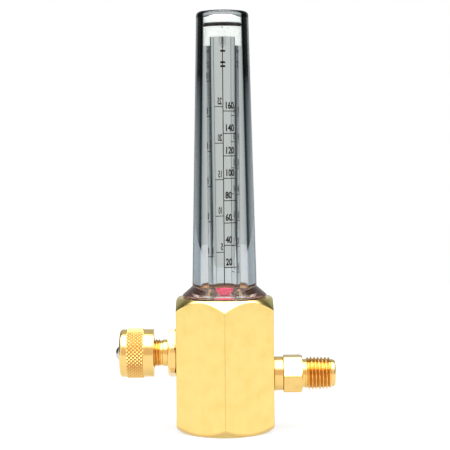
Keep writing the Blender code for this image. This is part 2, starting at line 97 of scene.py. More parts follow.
class Nodes:
    """Short calls for building a node tree."""

    def __init__(self, tree):
        self.tree = tree
        self.tree.nodes.clear()

    def add(self, kind, links=None, **settings):
        node = self.tree.nodes.new(kind)
        for key, value in settings.items():
            setattr(node, key, value)
        for socket, value in (links or {}).items():
            target = node.inputs[socket]
            if isinstance(value, bpy.types.NodeSocket):
                self.tree.links.new(value, target)
            else:
                target.default_value = value
        return node

    def math(self, operation, a, b=0.0, clamp=False):
        node = self.add("ShaderNodeMath", {0: a, 1: b}, operation=operation, use_clamp=clamp)
        return node.outputs[0]

    def scaled(self, value, factor, offset, clamp=False):
        inputs = {0: value, 1: factor, 2: offset}
        return self.add("ShaderNodeMath", inputs, operation="MULTIPLY_ADD", use_clamp=clamp).outputs[0]

    def ramp(self, value, stops, interpolation="LINEAR"):
        node = self.add("ShaderNodeValToRGB", {0: value})
        ramp = node.color_ramp
        ramp.interpolation = interpolation
        while len(ramp.elements) < len(stops):
            ramp.elements.new(0.5)
        for element, (position, colour) in zip(ramp.elements, stops):
            element.position = position
            element.color = (*colour, 1) if isinstance(colour, tuple) else (colour, colour, colour, 1)
        return node.outputs[0]

    def mix(self, factor, a, b, blend="MIX"):
        node = self.add("ShaderNodeMix", data_type="RGBA", blend_type=blend)
        for socket, value in ((node.inputs[0], factor), (node.inputs[6], a), (node.inputs[7], b)):
            if isinstance(value, bpy.types.NodeSocket):
                self.tree.links.new(value, socket)
            elif isinstance(value, tuple):
                socket.default_value = (*value, 1)
            else:
                socket.default_value = value
        return node.outputs[2]

    def noise(self, vector, scale, detail=2.0, roughness=0.5):
        inputs = {"Vector": vector, "Scale": scale, "Detail": detail, "Roughness": roughness}
        return self.add("ShaderNodeTexNoise", inputs).outputs[0]

    def stretched(self, scale):
        """Object coordinates scaled along each axis."""
        coordinates = self.add("ShaderNodeTexCoord").outputs["Object"]
        return self.add("ShaderNodeMapping", {0: coordinates, 3: scale}).outputs[0]

    def bump(self, height, distance, strength=1.0):
        inputs = {"Height": height, "Distance": distance, "Strength": strength}
        return self.add("ShaderNodeBump", inputs).outputs[0]


def make_light():
    """Tent: bright above and at the front corners, dark at the sides and rear corners, grey behind.

    The camera itself sees plain white.
    """
    world = bpy.data.worlds.new("studio")
    bpy.context.scene.world = world
    world.use_nodes = True
    n = Nodes(world.node_tree)
    direction = n.add("ShaderNodeTexCoord").outputs["Generated"]
    axes = n.add("ShaderNodeSeparateXYZ", {0: direction}).outputs
    flat = n.math("SQRT", n.math("ADD", n.math("POWER", axes[0], 2), n.math("POWER", axes[1], 2)))
    facing = n.math("DIVIDE", axes[1], n.math("MAXIMUM", flat, 0.001))
    around = n.ramp(
        n.scaled(facing, 0.5, 0.5),
        [
            (0.0, (0.78, 0.64, 0.54)),
            (0.06, (0.8, 0.68, 0.6)),
            (0.16, 1.04),
            (0.36, 1.04),
            (0.46, (0.34, 0.29, 0.24)),
            (0.6, (0.08, 0.06, 0.045)),
            (0.82, 0.06),
            (0.9, (0.3, 0.36, 0.38)),
            (1.0, (0.55, 0.575, 0.57)),
        ],
    )
    high = n.ramp(axes[2], [(0.6, 0.0), (0.72, 1.0)], "EASE")
    ahead = n.ramp(axes[1], [(0.12, 1.0), (0.35, 0.0)], "EASE")
    dome = n.mix(n.math("MULTIPLY", high, ahead), around, (5.0, 5.05, 5.2))
    seen = n.add("ShaderNodeLightPath").outputs["Is Camera Ray"]
    colour = n.mix(seen, dome, (1.0, 1.0, 1.0))
    shader = n.add("ShaderNodeBackground", {"Color": colour, "Strength": 1.0})
    n.add("ShaderNodeOutputWorld", {0: shader.outputs[0]})


def make_floor():
    """Round sheet of pale paper, lit evenly to the camera and darker through clear pieces."""
    bm = bmesh.new()
    bmesh.ops.create_circle(bm, cap_ends=True, segments=96, radius=0.6)
    mesh = bpy.data.meshes.new("floor")
    bm.to_mesh(mesh)
    bm.free()
    floor = bpy.data.objects.new("floor", mesh)
    material = bpy.data.materials.new("floor_paper")
    material.use_nodes = True
    n = Nodes(material.node_tree)
    grain = n.noise(n.stretched((1, 1, 1)), 900, 3)
    colour = n.mix(grain, (0.17, 0.17, 0.17), (0.18, 0.18, 0.18))
    path = n.add("ShaderNodeLightPath").outputs
    glow = n.mix(path["Is Transmission Ray"], (0.62, 0.62, 0.62), (0.2, 0.23, 0.25))
    glow = n.mix(path["Is Camera Ray"], glow, (0.78, 0.78, 0.78))
    inputs = {"Base Color": colour, "Roughness": 0.9, "Emission Color": glow, "Emission Strength": 1.0}
    shader = n.add("ShaderNodeBsdfPrincipled", inputs)
    n.add("ShaderNodeOutputMaterial", {0: shader.outputs[0]})
    mesh.materials.append(material)
    bpy.context.scene.collection.objects.link(floor)


# ---------------------------------------------------------------- materials


def new_material(name):
    material = bpy.data.materials.new(name)
    material.use_nodes = True
    return material, Nodes(material.node_tree)


def finish_material(n, inputs):
    shader = n.add("ShaderNodeBsdfPrincipled", inputs)
    n.add("ShaderNodeOutputMaterial", {0: shader.outputs[0]})


def brass_material(name, base, grain, line_depth, roughness):
    """Brass with drawn or turned lines along the stretch, patches of tone, and painted shade in the roots of
    threads and knurls and on the bar's lower edge, plus a darker line along its corners.
    """
    material, n = new_material(name)
    lines = n.noise(n.stretched(grain), 1.0, 4, 0.65)
    patches = n.noise(n.stretched((1, 1, 1)), 210, 5)
    specks = n.noise(n.stretched((1, 1, 1)), 2400, 2)
    light = tuple(min(1.0, c * 1.04) for c in base)
    dull = (base[0] * 0.96, base[1] * 0.94, base[2] * 0.86)
    dark = (base[0] * 0.9, base[1] * 0.82, base[2] * 0.66)
    tone = n.ramp(patches, [(0.3, dull), (0.5, base), (0.7, light)])
    tone = n.mix(n.ramp(lines, [(0.35, 0.16), (0.6, 0.0)]), tone, dark)
    # painted shade: a darker, more orange tone where the points' shade value is high, in thread roots, knurl
    # grooves and the bar's lower edge, and along its corners
    shade_and_corner_tone = n.add("ShaderNodeAttribute", attribute_name="shade_and_corner_tone").outputs["Fac"]
    tone = n.mix(n.ramp(shade_and_corner_tone, [(0.25, 0.0), (0.9, 1.0)]), tone, (0.72, 0.4, 0.14))
    rough = n.scaled(lines, 0.16, roughness - 0.08)
    height = n.math("ADD", lines, n.math("MULTIPLY", specks, 0.25))
    finish_material(
        n,
        {
            "Base Color": tone,
            "Metallic": 1.0,
            "Roughness": rough,
            "Normal": n.bump(height, line_depth, 0.5),
        },
    )
    return material


def clear_material(name, tint, wave, low=None, high=None, glow=0.0):
    """Clear moulding, whose tint can darken towards its edges: painted shade for the dark surroundings that a
    thick wall shows there by refraction.

    The stops set the tint against the grazing angle, and change from low to high up the piece.
    A glow paints in the warm light that the brass round it sends through.
    """
    material, n = new_material(name)
    colour = (*tint, 1)
    if low:
        # painted shade: the tint darkens towards grazing angles
        grazing = n.add("ShaderNodeLayerWeight", {"Blend": 0.5}).outputs["Facing"]
        colour = n.ramp(grazing, [(0.0, tint), *low])
    if low and high:
        height = n.add("ShaderNodeSeparateXYZ", {0: n.stretched((1, 1, 1))}).outputs[2]
        rising = n.scaled(height, 14.0, -0.95, clamp=True)
        colour = n.mix(rising, colour, n.ramp(grazing, [(0.0, tint), *high]))
    flow = n.noise(n.stretched((1, 1, 0.18)), 160, 2)
    dust = n.noise(n.stretched((1, 1, 1)), 2600, 2)
    rough = n.ramp(dust, [(0.55, 0.0), (0.8, 0.06)])
    finish_material(
        n,
        {
            "Base Color": colour,
            "Transmission Weight": 1.0,
            "IOR": 1.49,
            "Specular Tint": (0.3, 0.3, 0.3, 1),
            # painted light: a warm glow standing in for the brass seen through the piece
            "Emission Color": (1.0, 0.52, 0.42, 1),
            "Emission Strength": glow,
            "Roughness": rough,
            "Normal": n.bump(flow, wave, 0.4),
        },
    )
    return material


def plain_material(
    name, base, roughness, grain, depth, metallic=0.0, spread=0.2, coat=0.0, gloss=0.5, glow=0.0
):
    """Moulded, rubber, painted or ground surface: mottled colour over a fine grain, and a painted glow in
    that colour when glow is set.
    """
    material, n = new_material(name)
    mottle = n.noise(n.stretched((1, 1, 1)), 260, 4)
    fine = n.noise(n.stretched(grain), 1.0, 3)
    dark = tuple(c * (1 - spread) for c in base)
    light = tuple(min(1.0, c * (1 + spread)) for c in base)
    tone = n.ramp(mottle, [(0.3, dark), (0.7, light)])
    rough = n.scaled(fine, 0.2, max(0.02, roughness - 0.1))
    finish_material(
        n,
        {
            "Base Color": tone,
            "Metallic": metallic,
            "Roughness": rough,
            "Coat Weight": coat,
            # painted light: the glow lights the surface in its own colour
            "Specular IOR Level": gloss,
            "Emission Color": tone,
            "Emission Strength": glow,
            "Normal": n.bump(fine, depth, 0.5),
        },
    )
    return material


def sintered_material():
    """Fused bronze grains."""
    material, n = new_material("sintered_bronze")
    inputs = {"Vector": n.stretched((1, 1, 1)), "Scale": 2600.0}
    cells = n.add("ShaderNodeTexVoronoi", inputs).outputs[0]
    # painted shade: each grain darkens towards its edge, in the gaps between grains
    tone = n.ramp(cells, [(0.0, (0.74, 0.5, 0.28)), (0.6, (0.3, 0.17, 0.08))])
    grains = n.bump(n.math("SUBTRACT", 1.0, cells), 0.12 * MM, 1.0)
    inputs = {"Base Color": tone, "Metallic": 1.0, "Roughness": 0.55, "Normal": grains}
    finish_material(n, inputs)
    return material


CLEAR = (0.98, 0.99, 0.985)
NEAR_BLACK = (0.001, 0.001, 0.001)
BAR_BRASS = (0.95, 0.72, 0.25)
TURNED_BRASS = (0.95, 0.66, 0.24)
PAINTED_BRASS_WARMTH = (1.0, 0.86, 0.78)
TUBE_SHADE_GREY = (0.3, 0.34, 0.35)
TUBE_SHADE_PALE = (0.5, 0.55, 0.56)
LOOK = {
    "bar": brass_material("bar_brass", BAR_BRASS, (2600, 2600, 40), 0.012 * MM, 0.2),
    "turned_x": brass_material("turned_brass_x", TURNED_BRASS, (5200, 60, 60), 0.012 * MM, 0.2),
    "turned_z": brass_material("turned_brass_z", TURNED_BRASS, (60, 60, 5200), 0.012 * MM, 0.2),
    # painted shade: the cover's tint turns dark at grazing angles, near-black on its upper part
    "cover": clear_material(
        "cover_clear",
        CLEAR,
        0.03 * MM,
        low=[(0.3, CLEAR), (0.36, (0.2, 0.26, 0.3)), (0.7, (0.5, 0.56, 0.6)), (1.0, (0.3, 0.35, 0.38))],
        high=[
            (0.3, CLEAR),
            (0.34, NEAR_BLACK),
            (0.62, NEAR_BLACK),
            (0.8, (0.26, 0.3, 0.32)),
            (1.0, (0.36, 0.4, 0.42)),
        ],
    ),
    # painted light and shade: the warm tint and glow stand in for the brass seen through the foot, the dark
    # stops for its shaded edges
    "foot": clear_material(
        "foot_clear",
        PAINTED_BRASS_WARMTH,
        0.03 * MM,
        low=[
            (0.5, PAINTED_BRASS_WARMTH),
            (0.6, (0.012, 0.001, 0.002)),
            (0.85, (0.03, 0.004, 0.006)),
            (1.0, (0.2, 0.12, 0.1)),
        ],
        glow=0.06,
    ),
    # painted shade: the tube's tint turns grey and pale at grazing angles
    "tube": clear_material(
        "tube_clear",
        CLEAR,
        0.01 * MM,
        low=[(0.3, CLEAR), (0.36, TUBE_SHADE_PALE), (0.7, CLEAR)],
        high=[(0.3, CLEAR), (0.34, TUBE_SHADE_GREY), (0.5, TUBE_SHADE_GREY), (1.0, TUBE_SHADE_PALE)],
    ),
    "inner": clear_material("clear_inner", CLEAR, 0.02 * MM),
    # painted light: the cap glows a little
    "cap": plain_material(
        "cap_white", (0.9, 0.95, 0.93), 0.35, (900, 900, 900), 0.02 * MM, spread=0.04, glow=0.35
    ),
    "rubber": plain_material(
        "black_rubber", (0.006, 0.006, 0.007), 0.5, (2400, 2400, 2400), 0.02 * MM, gloss=0.15
    ),
    # painted light: the ball glows
    "ball": plain_material(
        "float_red", (0.85, 0.015, 0.13), 0.15, (1800, 1800, 1800), 0.006 * MM, coat=0.6, glow=0.7
    ),
    "steel": plain_material("steel", (0.66, 0.69, 0.73), 0.2, (5200, 60, 60), 0.006 * MM, 1.0, 0.08),
    "ink": plain_material(
        "scale_ink", (0.008, 0.008, 0.01), 0.6, (4000, 4000, 4000), 0.004 * MM, gloss=0.1
    ),
    "sintered": sintered_material(),
}


# ---------------------------------------------------------------- mesh code


def from_mm(points):
    """Outline points written in millimetres, turned to metres."""
    return [(r * MM, z * MM) for r, z in points]


def soften(outline, radius=0.2 * MM):
    """Rounds the corners of a closed (radius, height) outline. Points on the axis stay sharp."""
    points = []
    for i, (r, z) in enumerate(outline):
        here = Vector((r, z))
        before = Vector(outline[i - 1]) - here
        after = Vector(outline[(i + 1) % len(outline)]) - here
        straight = before.length * after.length == 0 or before.angle(after) > math.radians(166)
        if r < 1e-7 or straight:
            points.append((r, z))
            continue
        step = min(radius, 0.4 * before.length, 0.4 * after.length)
        start = here + before.normalized() * step
        end = here + after.normalized() * step
        for t in (0, 0.25, 0.5, 0.75, 1):
            p = start * (1 - t) ** 2 + here * 2 * t * (1 - t) + end * t**2
            points.append((p.x, p.y))
    return points


def arc(centre, radius, start, end, steps):
    """Points (radius, height) of an arc between two angles in degrees."""
    points = []
    for i in range(steps + 1):
        angle = math.radians(start + (end - start) * i / steps)
        points.append((centre[0] + radius * math.cos(angle), centre[1] + radius * math.sin(angle)))
    return points


def ring_angles(count):
    return [TAU * i / count for i in range(count)]


def lathe(stations, angles):
    """Closed surface of rings about Z. A station is (radius, height) or a function of the angle.

    A function may return a third value, the tone of painted shade there: how deep the point lies in a thread
    or knurl, or a set tone on edges and corners.
    """
    bm = bmesh.new()
    shade_and_corner_tone = bm.verts.layers.float.new("shade_and_corner_tone")
    rings = []
    for station in stations:
        if not callable(station) and station[0] < 1e-7:
            rings.append([bm.verts.new((0, 0, station[1]))])
            continue
        ring = []
        for angle in angles:
            r, z, *depth = station(angle) if callable(station) else station
            vertex = bm.verts.new((r * math.cos(angle), r * math.sin(angle), z))
            vertex[shade_and_corner_tone] = depth[0] if depth else 0.0
            ring.append(vertex)
        rings.append(ring)
    count = len(angles)
    for a, b in zip(rings, rings[1:] + rings[:1]):
        for i in range(count):
            j = (i + 1) % count
            corners = [a[i % len(a)], a[j % len(a)], b[j % len(b)], b[i % len(b)]]
            corners = list(dict.fromkeys(corners))
            if len(corners) > 2:
                bm.faces.new(corners)
    return bm


def mesh_object(name, bm, material, place=None, sharp=32):
    bmesh.ops.recalc_face_normals(bm, faces=bm.faces)
    mesh = bpy.data.meshes.new(name)
    bm.to_mesh(mesh)
    bm.free()
    if place:
        mesh.transform(place)
    mesh.shade_smooth()
    mesh.set_sharp_from_angle(angle=math.radians(sharp))
    obj = bpy.data.objects.new(name, mesh)
    if material:
        mesh.materials.append(material)
    bpy.context.scene.collection.objects.link(obj)
    return obj


def adopt(obj, body, node):
    """Lets an object ride on a body and names its slot and, if any, the CAD node it replaces."""
    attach(obj, body)
    if node:
        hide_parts(node)


def piece(name, bm, material, body, node, place=None, sharp=32):
    """A shown piece that rides on a body and stands for a CAD node."""
    obj = mesh_object(name, bm, material, place, sharp)
    adopt(obj, body, node)
    return obj


def paint_faces(obj, material, chosen):
    """Gives the faces that a test picks their own material."""
    obj.data.materials.append(material)
    for face in obj.data.polygons:
        if chosen(face):
            face.material_index = len(obj.data.materials) - 1


def looks_inward(face):
    return face.normal.x * face.center.x + face.normal.y * face.center.y < 0


def cut(obj, tools):
    """Subtracts tool meshes from an object and keeps the result as its mesh."""
    helpers = []
    for i, (bm, place) in enumerate(tools):
        tool = mesh_object(f"{obj.name}_tool_{i}", bm, None, place)
        modifier = obj.modifiers.new(tool.name, "BOOLEAN")
        modifier.operation = "DIFFERENCE"
        modifier.solver = "EXACT"
        modifier.object = tool
        helpers.append(tool)
    graph = bpy.context.evaluated_depsgraph_get()
    result = bpy.data.meshes.new_from_object(obj.evaluated_get(graph))
    obj.modifiers.clear()
    obj.data = result
    for tool in helpers:
        bpy.data.objects.remove(tool)
    result.shade_smooth()
    result.set_sharp_from_angle(angle=math.radians(32))


def hexagon_radius(angle, flats, turn=0.0, corner=0.3 * MM):
    """Distance from the axis to a hexagon with a flat facing +X and rounded corners."""
    a = flats / 2
    off = (angle - turn + math.pi / 6) % (math.pi / 3) - math.pi / 6
    tangent = math.atan((a - corner) * math.tan(math.pi / 6) / a)
    if abs(off) <= tangent:
        return a / math.cos(off)
    reach = (a - corner) / math.cos(math.pi / 6)
    delta = math.pi / 6 - abs(off)
    return reach * math.cos(delta) + math.sqrt(corner**2 - (reach * math.sin(delta)) ** 2)


def hexagon_angles(flats, turn=0.0, corner=0.3 * MM, between=20):
    a = flats / 2
    spread = math.pi / 6 - math.atan((a - corner) * math.tan(math.pi / 6) / a)
    angles = []
    for i in range(6):
        centre = turn + math.pi / 3 * i
        for k in range(between):
            angles.append(centre + (math.pi / 6 - spread) * (2 * k / between - 1))
        for k in range(5):
            angles.append(centre + math.pi / 6 + spread * (k / 2.5 - 1))
    return angles


def edge_stations(radius, height, towards_in, towards_out, size, depth=0.0):
    """Rings that round the edge where a cone meets a prism, for heights that vary, with depth as their
    painted shade tone.
    """
    stations = []
    for t in (0, 0.25, 0.5, 0.75, 1):
        w0, w1, w2 = (1 - t) ** 2, 2 * t * (1 - t), t**2

        def station(angle, w0=w0, w1=w1, w2=w2):
            r, z = radius(angle), height(angle)
            r0, z0 = r + towards_in[0] * size, z + towards_in[1] * size
            r2, z2 = r + towards_out[0] * size, z + towards_out[1] * size
            return w0 * r0 + w1 * r + w2 * r2, w0 * z0 + w1 * z + w2 * z2, depth

        stations.append(station)
    return stations


def chamfered_prism(radius, low, high, trim_low, trim_high, slope_low, slope_high, edge):
    """Side of a bar between two turned chamfers: stations from the lower cone to the upper one."""

    def low_at(angle):
        return low + slope_low * max(0.0, radius(angle) - trim_low)

    def high_at(angle):
        return high - slope_high * max(0.0, radius(angle) - trim_high)

    def unit(x, y):
        size = math.hypot(x, y)
        return x / size, y / size

    corner_r = max(radius(i * math.pi / 6) for i in range(12))
    # the lower rounded edge gets painted shade, tone 0.6
    stations = edge_stations(radius, low_at, unit(-1, -slope_low), (0, 1), edge, 0.6)
    for share in (0.02, 0.2, 0.4, 0.6, 0.8):

        def side(angle, share=share):
            a, b = low_at(angle) + edge, high_at(angle) - edge
            # the corners get a darker tone through the same mask as the painted shade
            edge_line_tone = 0.7 if radius(angle) > corner_r - 0.03 * MM else 0.0
            return radius(angle), a + (b - a) * share, edge_line_tone

        stations.append(side)
    stations += edge_stations(radius, high_at, (0, -1), unit(-1, slope_high), edge)
    return stations


def threaded(root, depth, pitch, low, high, taper=0.0, rows=12):
    """Stations of a helical thread that runs out at both ends, with painted shade in its roots."""
    stations = []
    count = int((high - low) / pitch * rows)
    for k in range(count + 1):
        z = low + (high - low) * k / count

        def station(angle, z=z):
            phase = (z / pitch - angle / TAU) % 1.0
            ridge = 1 - abs(2 * phase - 1)
            ridge = min(1.0, max(0.0, (ridge - 0.1) / 0.78))
            fade = min(1.0, (z - low) / pitch, (high - z) / pitch)
            fade = max(0.0, fade)
            # the third value paints shade into the thread's roots
            return root - taper * (z - low) + depth * ridge * fade, z, (1 - ridge) * fade

        stations.append(station)
    return stations


# ---------------------------------------------------------------- body and covers


def make_body():
    """Hexagonal bar with turned chamfers, its central bores and its three side ports."""
    corner = 0.35 * MM

    def radius(angle):
        return hexagon_radius(angle, BODY_FLATS, 0.0, corner)

    centre = [
        (0, 20.0), (2.0, 20.0), (2.0, 33.8), (4.6, 33.8), (4.6, 38.0), (9.0, 38.0),
        (9.0, 43.0), (12.2, 43.0), (12.2, 51.2), (14.4, 51.2), (14.4, 52.7), (18.4, 52.7),
    ]
    # the last point only rounds the corner before it
    centre = soften(from_mm([*centre, (18.6, 52.5)]), 0.15 * MM)[:-5]
    trims = (BODY_CHAMFER_R, BODY_CHAMFER_R, BOTTOM_CHAMFER_SLOPE, TOP_CHAMFER_SLOPE)
    prism = chamfered_prism(radius, 0.0, BODY_TOP, *trims, 0.3 * MM)
    stations = [(0, 0), (17.0 * MM, 0), (18.2 * MM, 0), *prism, *reversed(centre)]
    obj = mesh_object("body_bar", lathe(stations, hexagon_angles(BODY_FLATS, 0, corner)), LOOK["bar"])
    flat_r = BODY_FLATS / 2
    cut(
        obj,
        [
            (port([(6.5, 8.0)], flat_r, 0.5), TO_INLET),
            (port([(2.8, 9.5), (5.8, 12.5)], flat_r, 0.5), TO_VALVE),
            (port([(1.2, 4.0), (6.1, flat_r / MM - 10)], flat_r, 0.7), TO_OUTLET),
            (port([(0.9, VALVE_Z / MM)], 45 * MM, 0), Matrix.Translation((-10.6 * MM, 0, 0))),
        ],
    )
    adopt(obj, "housing", "body")


def port(steps, mouth, chamfer):
    """Cutter for a stepped hole: (radius, floor) in millimetres, deepest first, and a mouth chamfer."""
    outline = [(0, steps[0][1] * MM)]
    floors = [floor * MM for radius, floor in steps[1:]]
    for (radius, floor), end in zip(steps, [*floors, mouth - chamfer * MM]):
        outline += [(radius * MM, floor * MM), (radius * MM, end)]
    widest = outline[-1][0]
    if chamfer:
        widest += (chamfer + 2) * MM
    outline += [(widest, mouth + 2 * MM), (0, mouth + 2 * MM)]
    return lathe(outline, [a + 0.013 for a in ring_angles(72)])


def make_outlet_thread():
    """Helical ridge inside the outlet port."""
    mouth = BODY_FLATS / 2 - 0.8 * MM
    low = mouth - 8.6 * MM
    rows = threaded(-5.95 * MM, 0.75 * MM, PIPE_PITCH, low, mouth)

    def inward(station):
        def flipped(angle):
            r, z, shade_and_corner_tone = station(angle)
            return -r, z, shade_and_corner_tone

        return flipped

    stations = [inward(s) for s in rows] + [(6.2 * MM, mouth), (6.2 * MM, low)]
    bm = lathe(stations, ring_angles(96))
    piece("outlet_thread", bm, LOOK["turned_x"], "housing", None, TO_OUTLET)


def make_cover():
    """Clear tapered cover with a closed top, a conical foot, a rim and a spigot."""
    rim = 53.0
    foot_r = FOOT_R / MM
    foot_top = FOOT_TOP / MM
    outline = [(12.0, 45), (12.0, rim), (16.35, rim), (16.55, rim + 0.25), (16.55, rim + 0.75)]
    outline += [(foot_r, foot_top), *arc((8.65, 162.9), 1.6, 0, 75, 5), (4.6, 164.9), (0, 165)]
    outline += [(0, 163), (6.9, 162.8), (7.65, 162), (9.4, foot_top), (9.5, 45)]
    outline = soften(from_mm(outline), 0.35 * MM)
    shell = lathe(outline, ring_angles(128))
    obj = piece("cover_shell", shell, LOOK["cover"], "housing", "tube_cover")
    paint_faces(obj, LOOK["inner"], looks_inward)

    def on_foot(face):
        return face.center.z < FOOT_TOP - 0.14 * MM and face.center.xy.length > FOOT_R + 0.05 * MM

    paint_faces(obj, LOOK["foot"], on_foot)


def make_tube():
    tube_r = TUBE_R / MM
    outline = [(tube_r, 44.3), (tube_r, 156.5), (4.95, 156.5), (4.15, 48.6), (4.15, 44.3)]
    outline = soften(from_mm(outline), 0.2 * MM)
    tube = lathe(outline, ring_angles(128))
    obj = piece("metering_tube", tube, LOOK["tube"], "housing", "flow_tube")
    paint_faces(obj, LOOK["inner"], looks_inward)


def make_ring(name, node, centre_r, minor_r, height, body="housing", place=None):
    """O-ring with its mould line."""
    outline = []
    for i in range(20):
        angle = TAU * i / 20
        r = minor_r * (1.03 if i in (0, 10) else 1.0)
        outline.append((centre_r + r * math.cos(angle), height + r * math.sin(angle)))
    piece(name, lathe(outline, ring_angles(96)), LOOK["rubber"], body, node, place)


def make_seals():
    for name, node, centre_r, minor_r, height in (
        ("cover_seal", "cover_oring", 13.3, 0.75, 52.1),
        ("socket_seal", "socket_oring", 6.6, 0.45, 38.6),
        ("tube_lower_seal", "tube_lower_oring", 6.97, 0.4, 46.25),
        ("tube_upper_seal", "tube_upper_oring", 5.65, 0.45, 157.1),
        ("cap_seal", "cap_oring", 6.9, 0.7, 159.0),
    ):
        make_ring(name, node, centre_r * MM, minor_r * MM, height * MM)
    make_ring("bonnet_seal", "bonnet_oring", 4.4 * MM, 0.55 * MM, 13.2 * MM, place=TO_VALVE)
    make_ring("stem_seal", "stem_oring", 2.02 * MM, 0.4 * MM, 15.6 * MM, "valve_carriage", TO_VALVE)


def make_socket():
    outline = [
        (1.6, 34), (4.45, 34), (4.45, 38.2), (5.6, 38.2), (5.6, 39.1), (7.6, 39.1), (7.6, 38.2),
        (8.6, 38.2), (8.6, 42.6), (8.3, 43), (8.3, 49), (6.65, 49), (6.65, 47.1), (7.5, 47.1),
        (7.5, 45.4), (6.65, 45.4), (6.65, 44), (1.6, 44),
    ]
    outline = soften(from_mm(outline), 0.15 * MM)
    bm = lathe(outline, ring_angles(96))
    piece("socket_cup", bm, LOOK["turned_z"], "housing", "tube_socket")


def make_float():
    """Lower stop, ball and the pin above it."""
    outline = [(2.0, 44.7), (3.85, 44.7), (3.85, 48.2), (3.45, 48.6), (2.0, 48.6)]
    outline = soften(from_mm(outline), 0.2 * MM)
    piece("seat_plug", lathe(outline, ring_angles(64)), LOOK["steel"], "housing", "lower_float_stop")
    low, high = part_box("float_ball")
    centre = (low + high) / 2
    ball_r = (high.z - low.z) / 2
    outline = arc((0, centre.z), ball_r, -90, 90, 40)
    outline[0] = (0, low.z)
    outline[-1] = (0, high.z)
    piece("ball", lathe(outline, ring_angles(80)), LOOK["ball"], "float", "float_ball")
    outline = [(0, 149.8), (0.3, 149.85), (0.5, 150.1), (0.5, 159.9), (0, 159.9)]
    outline = soften(from_mm(outline), 0.08 * MM)
    piece("stop_pin", lathe(outline, ring_angles(32)), LOOK["steel"], "housing", "upper_float_stop")


def make_cap():
    """White cap with an O-ring groove, a recess for the tube, three legs and side vents."""
    outline = [
        (0, 162.6), (6.85, 162.6), (7.2, 162.25), (7.25, 159.8), (6.1, 159.8), (6.1, 158.2),
        (7.35, 158.2), (7.35, 157.4), (7.25, 157.3), (7.35, 157.2), (7.35, 150.8), (6.65, 150.8),
        (6.65, 157.7), (4.6, 157.7), (4.6, 158.7), (0.8, 158.7), (0.8, 160.2), (0, 160.2),
    ]
    outline = soften(from_mm(outline), 0.12 * MM)
    obj = mesh_object("cap", lathe(outline, ring_angles(96)), LOOK["cap"])
    tools = []
    for i in range(3):
        slot = bmesh.new()
        shape = Matrix.Diagonal((6 * MM, 9 * MM, 6.8 * MM, 1))
        bmesh.ops.create_cube(slot, size=1, matrix=shape)
        edges = [e for e in slot.edges if abs(e.verts[0].co.x - e.verts[1].co.x) > 1 * MM]
        bmesh.ops.bevel(slot, geom=edges, offset=0.5 * MM, segments=4, affect="EDGES", profile=0.5)
        turn = Matrix.Rotation(math.radians(120 * i - 90), 4, "Z")
        tools.append((slot, turn @ Matrix.Translation((7.5 * MM, 0, 150.8 * MM))))
    vent = lathe(from_mm([(0, -9), (0.35, -9), (0.35, 9), (0, 9)]), ring_angles(16))
    across = Matrix.Rotation(math.pi / 2, 4, "X")
    tools.append((vent, Matrix.Translation((0, 0, 157.75 * MM)) @ across))
    cut(obj, tools)
    adopt(obj, "housing", "tube_cap")


# ---------------------------------------------------------------- inlet and valve


def make_inlet():
    """Nipple: inner thread, collar, hexagon, neck and tapered male thread, with a stepped bore."""
    flats = 13.9 * MM

    def radius(angle):
        return hexagon_radius(angle, flats, 0.0, 0.2 * MM)

    inner = [(2.5, 8.2), (5.8, 8.2), (6.3, 8.7), (6.3, 19.2), (6.0, 19.35), (6.75, 19.35)]
    inner += [(6.75, 22.75), (6.3, 23.0)]
    # open at both ends, so each end corner keeps only its inner part
    inner = soften(from_mm(inner), 0.12 * MM)[2:-2]
    prism = chamfered_prism(radius, 23.0 * MM, 30.5 * MM, 7.9 * MM, 6.85 * MM, 0.5, 0.6, 0.12 * MM)
    neck = [(5.65 * MM, 30.6 * MM), (5.6 * MM, 30.75 * MM), (5.6 * MM, 31.3 * MM)]
    thread = threaded(5.7 * MM, 1.05 * MM, PIPE_PITCH, 31.5 * MM, 42.4 * MM, 1 / 32)
    end = [(5.35, 42.5), (5.3, 42.9), (4.9, 43.35), (4.7, 43.4), (3.5, 43.4)]
    end += [(3.4, 43.3), (3.4, 29.5), (2.5, 29.5)]
    end = from_mm(end)
    angles = hexagon_angles(flats, 0.0, 0.2 * MM, 14)
    bm = lathe([*inner, *prism, *neck, *thread, *end], angles)
    piece("inlet_fitting", bm, LOOK["turned_x"], "housing", "inlet_nipple", TO_INLET)
    plug = [(0, 29.8), (3.1, 29.8), (3.1, 37.8), (2.6, 38.3), (0, 38.3)]
    plug = lathe(soften(from_mm(plug), 0.2 * MM), ring_angles(48))
    sintered = LOOK["sintered"]
    piece("inlet_strainer", plug, sintered, "housing", "inlet_filter", TO_INLET)


def make_bonnet():
    """Gland: thread into the body, hexagon, shank and the male thread that the knob runs on."""
    flats = 17.46 * MM
    turn = math.radians(18.5)

    def radius(angle):
        return hexagon_radius(angle, flats, turn, 0.2 * MM)

    inner = [(2.6, 13.9), (5.2, 13.9), (5.6, 14.3), (5.6, 19.15), (5.6, 19.35)]
    inner = from_mm(inner)
    prism = chamfered_prism(radius, 19.35 * MM, 22.6 * MM, 9.2 * MM, 8.43 * MM, 0.5, 0.7, 0.15 * MM)
    shank = [(5.4, 22.62), (5.3, 22.75), (5.3, 24.4), (5.2, 24.6), (4.95, 24.8)]
    shank = from_mm(shank)
    thread = threaded(4.94 * MM, 0.62 * MM, VALVE_PITCH, 25.0 * MM, 36.0 * MM)
    end = from_mm([(4.6, 36.4), (4.5, 36.5), (2.7, 36.5), (2.6, 36.4)])
    angles = hexagon_angles(flats, turn, 0.2 * MM, 14)
    bm = lathe([*inner, *prism, *shank, *thread, *end], angles)
    piece("gland", bm, LOOK["turned_x"], "housing", "valve_bonnet", TO_VALVE)


